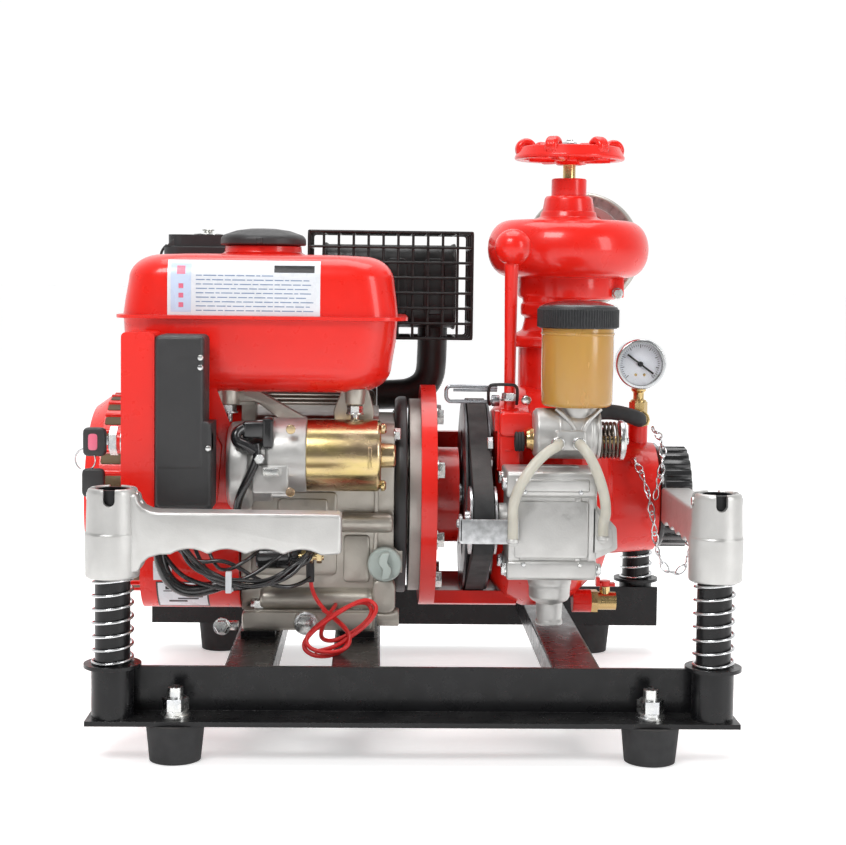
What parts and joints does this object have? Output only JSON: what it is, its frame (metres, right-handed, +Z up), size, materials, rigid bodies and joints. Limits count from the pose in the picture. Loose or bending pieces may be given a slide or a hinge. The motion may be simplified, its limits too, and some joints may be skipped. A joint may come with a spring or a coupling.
{
  "type": "portable fire pump",
  "caption": "Engine-driven centrifugal fire pump with priming gear and a screw-down discharge valve, on a steel carrying frame with sprung swing-out corner handles.",
  "frame": {"origin": "on the floor under the centre of the overall box", "axes": "+X along the shaft from the recoil starter to the suction inlet, +Y away from the operator's side, +Z up"},
  "size_m": [0.555, 0.455, 0.517],
  "materials": {
    "black_frame_paint": "satin black paint",
    "rubber": "matt rubber",
    "zinc": "bright zinc plate",
    "cast_aluminium": "as-cast aluminium",
    "red_paint": "gloss red paint",
    "black_plastic": "fine-grained black plastic",
    "steel": "machined steel",
    "grey_iron": "grey painted iron",
    "black_enamel": "heat-resistant black enamel",
    "yellow_zinc": "yellow-passivated zinc",
    "brass": "turned brass",
    "amber_cup": "clear amber plastic holding oil",
    "silicone": "cream silicone",
    "red_insulation": "red cable insulation",
    "chain_steel": "polished steel chain",
    "spring_steel": "bright spring wire"
  },
  "bodies": {
    "machine": {"carrying_frame": "black_frame_paint", "rubber_feet": "rubber", "handle_posts": "black_frame_paint", "crankcase": "cast_aluminium", "side_cover": "cast_aluminium", "cylinder_head": "cast_aluminium", "piston_and_rod": "steel", "fan_housing": "red_paint", "recoil_starter": "red_paint", "fuel_tank": "red_paint", "air_cleaner": "black_plastic", "carburetor": "cast_aluminium", "muffler": "black_enamel", "muffler_cage": "black_enamel", "control_box": "red_paint", "control_box_cover": "black_plastic", "starter_motor": "cast_aluminium", "coupling_flange": "grey_iron", "pump_bracket": "red_paint", "drive_belt": "rubber", "volute_casing": "red_paint", "suction_cover": "red_paint", "drain_cock": "brass", "valve_body": "red_paint", "valve_bonnet": "red_paint", "discharge_coupling": "cast_aluminium", "vacuum_pump": "cast_aluminium", "valve_block": "cast_aluminium", "oil_cup": "amber_cup", "pressure_gauge": "chain_steel", "fasteners": "zinc", "priming_hose_left": "silicone", "priming_hose_right": "silicone", "vacuum_hose": "rubber", "wiring_harness": "black_plastic", "starter_lead": "red_insulation", "cap_chain": "chain_steel"},
    "rotor": {"crankshaft": "steel", "flywheel": "steel", "drive_pulley": "steel", "impeller": "brass"},
    "vacuum_shaft": {"vacuum_rotor": "steel"},
    "fuel_cap": {"fuel_cap": "black_plastic"},
    "oil_cup_lid": {"oil_cup_lid": "black_plastic"},
    "oil_cap": {"oil_cap": "black_plastic"},
    "ignition_key": {"ignition_key": "steel"},
    "suction_cap": {"suction_cap": "black_plastic"},
    "drain_lever": {"drain_lever": "red_paint"},
    "valve_disc": {"valve_disc": "brass"},
    "handwheel": {"handwheel": "red_paint"},
    "priming_lever": {"priming_lever": "red_paint"},
    "gauge_needle": {"gauge_needle": "black_plastic"},
    "front_left_lift": {"front_left_spring": "spring_steel"},
    "front_left_grip": {"front_left_handle": "cast_aluminium"},
    "front_right_lift": {"front_right_spring": "spring_steel"},
    "front_right_grip": {"front_right_handle": "cast_aluminium"},
    "rear_left_lift": {"rear_left_spring": "spring_steel"},
    "rear_left_grip": {"rear_left_handle": "cast_aluminium"},
    "rear_right_lift": {"rear_right_spring": "spring_steel"},
    "rear_right_grip": {"rear_right_handle": "cast_aluminium"}
  },
  "joints": [
    {"name": "front_left_push", "type": "slide", "parent": "machine", "child": "front_left_lift", "axis": [0, 0, -1], "range_m": [0, 0.012], "stiffness_N_per_m": 1500, "springref_m": -0.015, "deforming": ["front_left_spring"]},
    {"name": "front_left_swing", "type": "hinge", "parent": "front_left_lift", "child": "front_left_grip", "pos_m": [-0.2265, -0.2015, 0.18], "axis": [0, 0, 1], "range_deg": [-180, 0]},
    {"name": "front_right_push", "type": "slide", "parent": "machine", "child": "front_right_lift", "axis": [0, 0, -1], "range_m": [0, 0.012], "stiffness_N_per_m": 1500, "springref_m": -0.015, "deforming": ["front_right_spring"]},
    {"name": "front_right_swing", "type": "hinge", "parent": "front_right_lift", "child": "front_right_grip", "pos_m": [0.2535, -0.2015, 0.18], "axis": [0, 0, 1], "range_deg": [-180, 0]},
    {"name": "rear_left_push", "type": "slide", "parent": "machine", "child": "rear_left_lift", "axis": [0, 0, -1], "range_m": [0, 0.012], "stiffness_N_per_m": 1500, "springref_m": -0.015, "deforming": ["rear_left_spring"]},
    {"name": "rear_left_swing", "type": "hinge", "parent": "rear_left_lift", "child": "rear_left_grip", "pos_m": [-0.2265, 0.2015, 0.18], "axis": [0, 0, 1], "range_deg": [0, 180]},
    {"name": "rear_right_push", "type": "slide", "parent": "machine", "child": "rear_right_lift", "axis": [0, 0, -1], "range_m": [0, 0.012], "stiffness_N_per_m": 1500, "springref_m": -0.015, "deforming": ["rear_right_spring"]},
    {"name": "rear_right_swing", "type": "hinge", "parent": "rear_right_lift", "child": "rear_right_grip", "pos_m": [0.2535, 0.2015, 0.18], "axis": [0, 0, 1], "range_deg": [-180, 0]},
    {"name": "shaft_spin", "type": "hinge", "parent": "machine", "child": "rotor", "pos_m": [0.0135, 0.03, 0.184], "axis": [1, 0, 0], "continuous": true},
    {"name": "vacuum_spin", "type": "hinge", "parent": "machine", "child": "vacuum_shaft", "pos_m": [0.0735, -0.102, 0.179], "axis": [1, 0, 0], "continuous": true},
    {"name": "fuel_cap_turn", "type": "hinge", "parent": "machine", "child": "fuel_cap", "pos_m": [-0.1215, -0.013, 0.415], "axis": [0, 0, 1], "range_deg": [0, 90]},
    {"name": "oil_lid_turn", "type": "hinge", "parent": "machine", "child": "oil_cup_lid", "pos_m": [0.154, -0.083, 0.35], "axis": [0, 0, 1], "range_deg": [0, 300]},
    {"name": "oil_cap_turn", "type": "hinge", "parent": "machine", "child": "oil_cap", "pos_m": [-0.01, -0.064, 0.1335], "axis": [0, -1, 0], "range_deg": [0, 300]},
    {"name": "key_turn", "type": "hinge", "parent": "machine", "child": "ignition_key", "pos_m": [-0.2365, -0.131, 0.247], "axis": [-1, 0, 0], "range_deg": [0, 75]},
    {"name": "suction_cap_pull", "type": "slide", "parent": "machine", "child": "suction_cap", "axis": [1, 0, 0], "range_m": [0, 0.09]},
    {"name": "drain_turn", "type": "hinge", "parent": "machine", "child": "drain_lever", "pos_m": [0.1935, 0.002, 0.105], "axis": [0, 0, 1], "range_deg": [0, 90]},
    {"name": "valve_rise", "type": "slide", "parent": "machine", "child": "valve_disc", "axis": [0, 0, 1], "range_m": [0, 0.0151]},
    {"name": "handwheel_turn", "type": "hinge", "parent": "valve_disc", "child": "handwheel", "pos_m": [0.1595, 0.052, 0.5], "axis": [0, 0, 1], "range_deg": [0, 1080]},
    {"name": "lever_pull", "type": "hinge", "parent": "machine", "child": "priming_lever", "pos_m": [0.0985, -0.05, 0.262], "axis": [1, 0, 0], "range_deg": [0, 35]},
    {"name": "needle_turn", "type": "hinge", "parent": "machine", "child": "gauge_needle", "pos_m": [0.2255, 0.022, 0.308], "axis": [0, 1, 0], "range_deg": [-60, 120], "stiffness_Nm_per_rad": 0.002}
  ],
  "couplings": [
    {"joint": "vacuum_spin", "follows": "shaft_spin", "ratio": 3.1481},
    {"joint": "valve_rise", "follows": "handwheel_turn", "m_per_rad": 0.0008}
  ]
}
